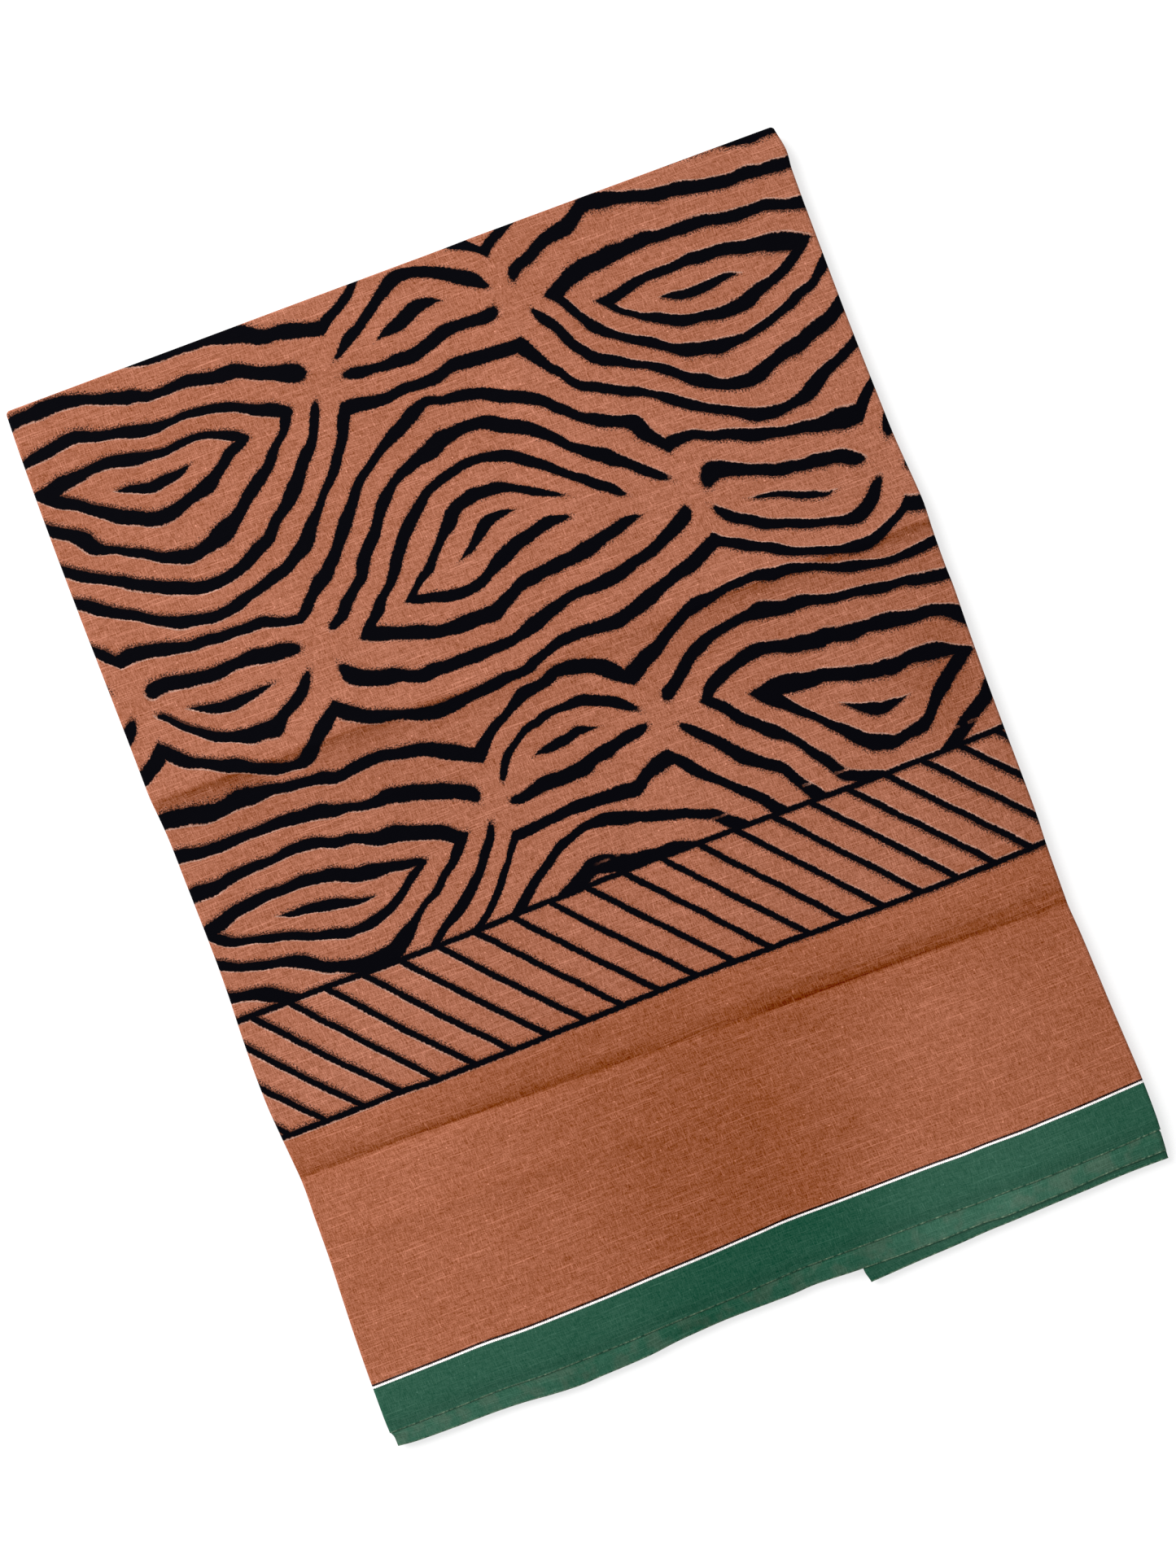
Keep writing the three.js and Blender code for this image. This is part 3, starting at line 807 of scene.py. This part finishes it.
s.fill(cells, [cells.inputs["Vector"], cells.inputs["Scale"]], [place, 1 / NEPS_APART])
nep = s.step(cells.outputs["Distance"], 0.6 / NEPS_APART, 0.3 / NEPS_APART)
slub = s.math("MAXIMUM", s.math("MAXIMUM", warp_slub, weft_slub), s.math("MULTIPLY", nep, 2.2))
rumple = s.noise(place, 17.0, 2.0, seed=12)
height = s.math("MULTIPLY_ADD", rumple, 0.22, s.math("MULTIPLY", net, 0.05))
s.tree.links.new(net, result["Shade"])
s.tree.links.new(slub, result["Slub"])
s.tree.links.new(s.math("MULTIPLY_ADD", slub, 0.03, height), result["Height"])
print("weave nodes:", len(weave.nodes))

# %% [markdown]
# Hand-cut screens give lines that never run quite true. The wobble effect moves the place that a
# pattern is read at, a little by a small noise and more by a large one, so a ruled line turns into
# a drawn one. It is a group of its own because the print uses it three times, with different
# sizes and strengths.

# %% Hand-drawn wobble
wobble, s, given, result = effect(
    "Drawn by hand",
    {"Place": "Vector", "Size": "Float", "Amount": "Float"},
    {"Place": "Vector"},
)
node = s.tree.nodes.new("ShaderNodeTexNoise")
node.noise_dimensions = "2D"
s.fill(
    node,
    [node.inputs["Vector"], node.inputs["Scale"], node.inputs["Detail"]],
    [given["Place"], s.math("DIVIDE", 1.0, given["Size"]), 1.0],
)
centred = s.vector("SUBTRACT", node.outputs["Color"], (0.5, 0.5, 0.5))
flat_shift = s.vector("MULTIPLY", centred, (1, 1, 0))
moved = s.vector("ADD", given["Place"], s.scaled(flat_shift, given["Amount"]))
s.tree.links.new(moved, result["Place"])
print("wobble nodes:", len(wobble.nodes))

# %% [markdown]
# The main field is covered with leaves, each drawn as a midrib stroke inside a nest of outlines. A
# leaf shape is where two large circles overlap, so its nested outlines are the levels of one
# formula: the distance from a point below the leaf, with everything mirrored about its spine. Two
# lattices of big leaves and two of small ones share the cloth by taking the smallest level; the
# small leaves start two levels up, so they only win in the corners between four big ones. A long
# wave tilts each leaf against the next. Where two nests meet, every second line stops short with a
# round end, as a brush leaves it: there the distance along the line is added to that from it.

# %% Leaf ripples
LEAF_STEP = (330.0, 252.0)
FIRST_LEAF = (62.0, 52.0)
LEAF_DEPTH = 80.0
LEAF_WAVE = 20.0
LINE_STEP = 19.0
OPEN_FROM = 34.0  # beyond this far along its spine a leaf's own lines may stay open
ripples, s, given, result = effect("Leaf ripples", {"Place": "Vector"}, {"Edge": "Float"})
place = s.use(wobble, Place=given["Place"], Size=110.0, Amount=34.0)["Place"]
place = s.use(wobble, Place=place, Size=26.0, Amount=7.0)["Place"]
x, y, _ = s.split(place)
wave = s.math("SINE", s.math("MULTIPLY", x, 2 * math.pi / LEAF_STEP[0]))
place = s.join(x, s.math("ADD", y, s.math("MULTIPLY", wave, LEAF_WAVE)))
levels, gaps = [], []
# Each row is one lattice: its shift both ways in steps, its first level, and how wide it is open.
for right, rise, first_level, open_above in (
    (0, 0, 0.0, 2.0),
    (0.5, 0.5, 0.0, 9.0),
    (0.5, 0, 2 * LINE_STEP, 0.0),
    (0, 0.5, 2 * LINE_STEP, 0.0),
):
    centre = (FIRST_LEAF[0] + right * LEAF_STEP[0], FIRST_LEAF[1] + rise * LEAF_STEP[1], 0.0)
    moved = s.vector("SUBTRACT", place, centre)
    half = (LEAF_STEP[0] / 2, LEAF_STEP[1] / 2, 1.0)
    cx, cy, _ = s.split(s.vector("WRAP", moved, half, tuple(-h for h in half)))
    off_spine = s.math("ABSOLUTE", cy)
    from_below = s.vector("LENGTH", s.join(cx, s.math("ADD", off_spine, LEAF_DEPTH)))
    levels.append(s.math("ADD", from_below, first_level - LEAF_DEPTH))
    beyond = s.math("MULTIPLY", s.math("GREATER_THAN", cx, OPEN_FROM), open_above)
    gaps.append(s.math("MAXIMUM", s.math("SUBTRACT", beyond, off_spine), 0.0))
lower = [s.math("MINIMUM", *levels[:2]), s.math("MINIMUM", *levels[2:])]
upper = [s.math("MAXIMUM", *levels[:2]), s.math("MAXIMUM", *levels[2:])]
level = s.math("MINIMUM", *lower)
next_level = s.math("MINIMUM", s.math("MAXIMUM", *lower), s.math("MINIMUM", *upper))
count = s.math("ADD", s.math("DIVIDE", level, LINE_STEP), 0.5)
every_second = s.math("GREATER_THAN", s.math("FRACT", s.math("MULTIPLY", count, 0.5)), 0.5)
between = s.math("SUBTRACT", next_level, level)
gap = s.math("MULTIPLY", s.math("MULTIPLY_ADD", between, -0.5, 8.0), every_second)
for own_level, own_gap in zip(levels, gaps):
    wins = s.math("LESS_THAN", own_level, s.math("ADD", level, 0.001))
    gap = s.math("MAXIMUM", gap, s.math("MULTIPLY", own_gap, wins))
across_line = s.math("MULTIPLY", s.math("SUBTRACT", s.math("FRACT", count), 0.5), LINE_STEP)
distance = s.vector("LENGTH", s.join(across_line, gap))
half_width = s.math("MULTIPLY_ADD", s.noise(given["Place"], 34.0, 1.0, seed=6), 3.2, 1.95)
s.tree.links.new(s.math("SUBTRACT", distance, half_width), result["Edge"])
print("ripple nodes:", len(ripples.nodes))

# %% [markdown]
# Below the main field runs a band of slanting bars between two ruled lines, and below that the
# ground is bare. All of it is one screen, so one group holds the whole artwork. Its answer is a
# distance in millimetres: below zero inside a line and above zero between the lines. A distance
# is worth more than a mask, because a softer edge or a halo can be made from it later.

# %% Artwork
LOWER_RULE, UPPER_RULE = 175.0, 244.3
BAR_STEP, BAR_SLANT = 22.1, 0.915
BAR_HALF_WIDTH, RULE_HALF_WIDTH = 1.85, 1.75
FAR = 99.0  # further than any line reaches
artwork, s, given, result = effect("Artwork", {"Place": "Vector"}, {"Edge": "Float"})
drawn = s.use(wobble, Place=given["Place"], Size=16.0, Amount=1.1)["Place"]
x, y, _ = s.split(drawn)
leaf_edge = s.use(ripples, Place=given["Place"])["Edge"]
bar_phase = s.math("DIVIDE", s.math("MULTIPLY_ADD", y, BAR_SLANT, x), BAR_STEP)
bar_turn = s.math("ABSOLUTE", s.math("SUBTRACT", s.math("FRACT", bar_phase), 0.5))
square_step = BAR_STEP / math.hypot(1, BAR_SLANT)
bar_edge = s.math("SUBTRACT", s.math("MULTIPLY", bar_turn, square_step), BAR_HALF_WIDTH)
in_field = s.math("GREATER_THAN", y, UPPER_RULE)
in_band = s.math("SUBTRACT", s.math("GREATER_THAN", y, LOWER_RULE), in_field)
field = s.math("MULTIPLY_ADD", s.math("SUBTRACT", 1.0, in_field), FAR, leaf_edge)
band = s.math("MULTIPLY_ADD", s.math("SUBTRACT", 1.0, in_band), FAR, bar_edge)
edge = s.math("MINIMUM", field, band)
for rule in (LOWER_RULE, UPPER_RULE):
    away = s.math("ABSOLUTE", s.math("SUBTRACT", y, rule))
    edge = s.math("MINIMUM", edge, s.math("SUBTRACT", away, RULE_HALF_WIDTH))
s.tree.links.new(edge, result["Edge"])
print("artwork nodes:", len(artwork.nodes))

# %% [markdown]
# A screen print is two passes, and they never land quite on each other. One side of each line is
# crisp with a thin pale rim, where the ground was held back; the other has a rough dark fringe,
# where the second pass spills over. The offset changes along the cloth, so the fringe swaps sides.
# Reading the artwork at two places, one shifted by that offset, gives both. A fine stretch of the
# screen was blocked above the upper rule, and leaves pale nicks in the lines there.

# %% Screen print
NICKS_AT = 254.0
screen_print, s, given, result = effect(
    "Screen print",
    {"Place": "Vector"},
    {"Ink": "Float", "Fringe": "Float", "Rim": "Float", "Washed": "Float"},
)
place = given["Place"]
x, y, _ = s.split(place)
rough = s.math("SUBTRACT", s.noise(place, 1.7, 2.0, seed=13), 0.5)
edge = s.use(artwork, Place=place)["Edge"]
slip = s.math("MULTIPLY_ADD", x, -0.0042, 1.0)
second_place = s.vector("SUBTRACT", place, s.join(slip, s.math("MULTIPLY", slip, 1.15)))
second = s.use(artwork, Place=second_place)["Edge"]
ink = s.step(s.math("MULTIPLY_ADD", rough, 1.5, edge), 0.3, -0.3)
nick_place = s.math("MULTIPLY_ADD", rough, 1.5, NICKS_AT)
nick_line = s.math("ABSOLUTE", s.math("SUBTRACT", y, nick_place))
nick =s.math("MULTIPLY", s.step(nick_line, 0.9, 0.4), s.step(x, 215.0, 235.0))
nick = s.math("MULTIPLY", nick, s.step(s.noise(place, (9.0, 30.0), 0.0, seed=14), 0.4, 0.5))
ink = s.math("MULTIPLY", ink, s.math("SUBTRACT", 1.0, nick))
flecks = s.math("SUBTRACT", s.noise(place, 0.9, 2.0, seed=15), 0.5)
spill = s.step(s.math("MULTIPLY_ADD", flecks, 8.5, second), 0.4, -0.5)
fringe = s.math("MULTIPLY", spill, s.math("SUBTRACT", 1.0, ink))
rim = s.math("MULTIPLY", s.step(edge, 0.9, 0.4), s.step(s.math("SUBTRACT", second, edge), 0.2, 1.0))
for name, value in (
    ("Ink", ink),
    ("Fringe", fringe),
    ("Rim", s.math("MULTIPLY", rim, s.math("SUBTRACT", 1.0, ink))),
    ("Washed", s.step(y, LOWER_RULE - 8, LOWER_RULE + 14)),
):
    s.tree.links.new(value, result[name])
print("screen print nodes:", len(screen_print.nodes))

# %% [markdown]
# The border is woven, not printed: green yarns to the selvedge, then a white cord and a dark one.
# Where the yarns change colour the line between them has tiny teeth, one for each crossing yarn. A
# saw-tooth wave along the border makes them. The cloth was held less wide at one fold than at the
# next, so the border's width drifts by a millimetre or two. The very edge is a lighter line, partly
# weft loops and partly a painted highlight along the edge.

# %% Woven border
WHITE_CORD = 27.3
TOOTH = 0.55
WIDTH_DRIFT = 0.0042  # for each millimetre from one fold to the next
border_effect, s, given, result = effect(
    "Woven border",
    {"Place": "Vector"},
    {"Green": "Float", "White": "Float", "Dark": "Float", "Loops": "Float"},
)
x, y, _ = s.split(given["Place"])
teeth = s.math("PINGPONG", x, TOOTH)
drift = s.math("MULTIPLY", s.math("PINGPONG", x, PANEL_WIDTH), WIDTH_DRIFT)
toothed = s.math("MULTIPLY_ADD", teeth, 0.6, s.math("SUBTRACT", y, drift))
white = s.step(s.math("ABSOLUTE", s.math("SUBTRACT", toothed, WHITE_CORD + 0.3)), 0.75, 0.45)
dark = s.step(s.math("ABSOLUTE", s.math("SUBTRACT", toothed, WHITE_CORD + 1.5)), 0.75, 0.35)
green = s.step(toothed, WHITE_CORD, WHITE_CORD - 0.3)
uneven = s.noise(given["Place"], (2.4, 9.0), 2.0, seed=8)
# Pale loops at the very edge, which also serve as a painted highlight of the edge.
pale_loops_and_highlight = s.math("ADD", s.step(uneven, 0.3, 0.6), s.step(uneven, 0.62, 0.68))
loops = s.math("MULTIPLY", s.step(y, 0.9, 0.4), pale_loops_and_highlight)
for name, value in zip(("Green", "White", "Dark", "Loops"), (green, white, dark, loops)):
    s.tree.links.new(value, result[name])
print("border nodes:", len(border_effect.nodes))

# %% [markdown]
# Dye never takes quite evenly, and folding and handling leave faint lighter patches. Two broad
# noises make a slow change of tone over the whole cloth. Its strength is a socket, because the
# reverse side is more uneven than the face. A finer noise, cut off by a soft threshold, gives the
# small bald mottles where little dye came through to the reverse.

# %% Uneven dye
tone_effect, s, given, result = effect(
    "Uneven dye", {"Place": "Vector", "Amount": "Float"}, {"Tone": "Float", "Mottles": "Float"}
)
broad = s.noise(given["Place"], 130.0, 1.0, seed=9)
patchy = s.noise(given["Place"], 24.0, 3.0, seed=10)
blend = s.math("ADD", s.math("MULTIPLY", broad, 0.55), s.math("MULTIPLY", patchy, 0.45))
swing = s.math("MULTIPLY", s.math("SUBTRACT", blend, 0.5), given["Amount"])
s.tree.links.new(s.math("ADD", swing, 1.0), result["Tone"])
bald = s.step(s.noise(given["Place"], 12.0, 6.0, seed=18), 0.42, 0.66)
s.tree.links.new(bald, result["Mottles"])
print("dye nodes:", len(tone_effect.nodes))

# %% [markdown]
# The three cloths of the pack are one fabric, so one function paints them, each with its own
# colours: the face, the paler reverse, and the hidden plies. The order of the layers is the order
# in which the cloth was made. First the yarns and their colours, then the print over them. The
# green yarns are spun finer, so the net of the weave shows less in them. Where a yarn is paler it
# is greyer too, because fibre ends stand up from it: a thin haze is added along with the shade.
# Numbers that are the same all over are set on the shader itself.


# %% Cotton
def linear(red, green, blue):
    """A screen colour from 0 to 255 as the shader's linear colour."""
    steps = [c / 255 for c in (red, green, blue)]
    return (*[c / 12.92 if c <= 0.04045 else ((c + 0.055) / 1.055) ** 2.4 for c in steps], 1)


PALE_RIM = linear(180, 158, 146)
BALD_PATCH = linear(96, 98, 86)
EDGE_LOOPS_AND_HIGHLIGHT = linear(150, 178, 146)
WHITE_YARN = linear(232, 228, 226)
DARK_YARN = linear(24, 7, 9)


def cotton(name, plain, washed, green, ink, ink_strength, unevenness, bald=0.0):
    """Woven, dyed and printed cotton that follows the cloth's own UV map."""
    material = bpy.data.materials.new(name)
    material.use_nodes = True
    s = Sketch(material.node_tree)
    shader = s.tree.nodes["Principled BSDF"]
    flat_place = s.tree.nodes.new("ShaderNodeUVMap")
    flat_place.uv_map = "cloth"
    # The attribute of painted light and shade that each piece keeps.
    painted_shading_node = s.tree.nodes.new("ShaderNodeAttribute")
    painted_shading_node.attribute_name = "painted_shading"
    place = s.scaled(flat_place.outputs[0], 1000.0)
    yarns = s.use(weave, Place=place)
    woven = s.use(border_effect, Place=place)
    dye = s.use(tone_effect, Place=place, Amount=unevenness)
    screen = s.use(screen_print, Place=place)

    colour = s.mix(screen["Washed"], plain, washed)
    colour = s.mix(s.math("MULTIPLY", screen["Rim"], 0.4), colour, PALE_RIM)
    colour = s.mix(woven["Green"], colour, green)
    if bald:
        colour = s.mix(s.math("MULTIPLY", dye["Mottles"], bald), colour, BALD_PATCH)
    # A pale line at each selvedge: weft loops, and a painted highlight along the edge.
    colour = s.mix(s.math("MULTIPLY", woven["Loops"], 0.35), colour, EDGE_LOOPS_AND_HIGHLIGHT)
    colour = s.mix(woven["White"], colour, WHITE_YARN)
    colour = s.mix(woven["Dark"], colour, DARK_YARN)
    contrast = s.math("MULTIPLY_ADD", woven["Green"], -0.85, 2.1)
    shade = s.math("MULTIPLY_ADD", s.math("SUBTRACT", yarns["Shade"], 0.5), contrast, 1.0)
    slub = s.math("MULTIPLY", yarns["Slub"], s.math("MULTIPLY", contrast, 0.15))
    shade = s.math("ADD", shade, slub)
    # The painted light and shade multiply the shade here, and so reach the haze below as well.
    shade = s.math("MULTIPLY", s.math("MULTIPLY", shade, dye["Tone"]), painted_shading_node.outputs["Fac"])
    haze_share = s.math("MULTIPLY_ADD", woven["Green"], -0.035, 0.085)
    haze = s.math("MULTIPLY", s.math("SUBTRACT", shade, 1.0), haze_share)
    colour = s.mix(1.0, colour, s.join(shade, shade, shade), "MULTIPLY")
    colour = s.vector("MAXIMUM", s.vector("ADD", colour, s.join(haze, haze, haze)), (0, 0, 0))
    colour = s.mix(s.math("MULTIPLY", screen["Fringe"], 0.85 * ink_strength), colour, ink)
    colour = s.mix(s.math("MULTIPLY", screen["Ink"], ink_strength), colour, ink)
    s.tree.links.new(colour, shader.inputs["Base Color"])

    rough = s.math("MULTIPLY_ADD", screen["Ink"], -0.12, 0.92)
    s.tree.links.new(rough, shader.inputs["Roughness"])
    shader.inputs["Specular IOR Level"].default_value = 0.03
    bump = s.tree.nodes.new("ShaderNodeBump")
    bump.inputs["Strength"].default_value = 1.0
    bump.inputs["Distance"].default_value = 0.001
    s.tree.links.new(yarns["Height"], bump.inputs["Height"])
    s.tree.links.new(bump.outputs[0], shader.inputs["Normal"])
    return material


face_cotton = cotton(
    "printed_face", linear(145, 84, 58), linear(148, 90, 67), linear(38, 78, 61),
    linear(2, 2, 6), ink_strength=1.0, unevenness=0.2,
)  # fmt: skip
reverse_cotton = cotton(
    "printed_reverse", linear(156, 94, 68), linear(156, 100, 80), linear(42, 84, 66),
    linear(48, 34, 34), ink_strength=0.8, unevenness=0.5, bald=0.2,
)  # fmt: skip
layers_cotton = cotton(
    "printed_layers", linear(146, 84, 55), linear(146, 90, 67), linear(36, 78, 60),
    linear(3, 4, 8), ink_strength=1.0, unevenness=0.25,
)  # fmt: skip
for piece, material in (
    (top_ply, face_cotton),
    (turned_end, face_cotton),
    (reverse_ply, reverse_cotton),
    (hidden_plies, layers_cotton),
):
    piece.data.materials.append(material)
    print(piece.name, "wears", material.name)

# %% [markdown]
# The size of each piece is that of the part of the cloth it shows: one panel for the top and the
# reverse ply, the short end, and one panel for the hidden plies, which stand for six. The whole
# cloth is 2.0 m by 1.23 m.

shown = (top_ply, reverse_ply, turned_end, hidden_plies)
print("declared, with their own faces:", {p.name: len(p.data.polygons) for p in shown})

# %% [markdown]
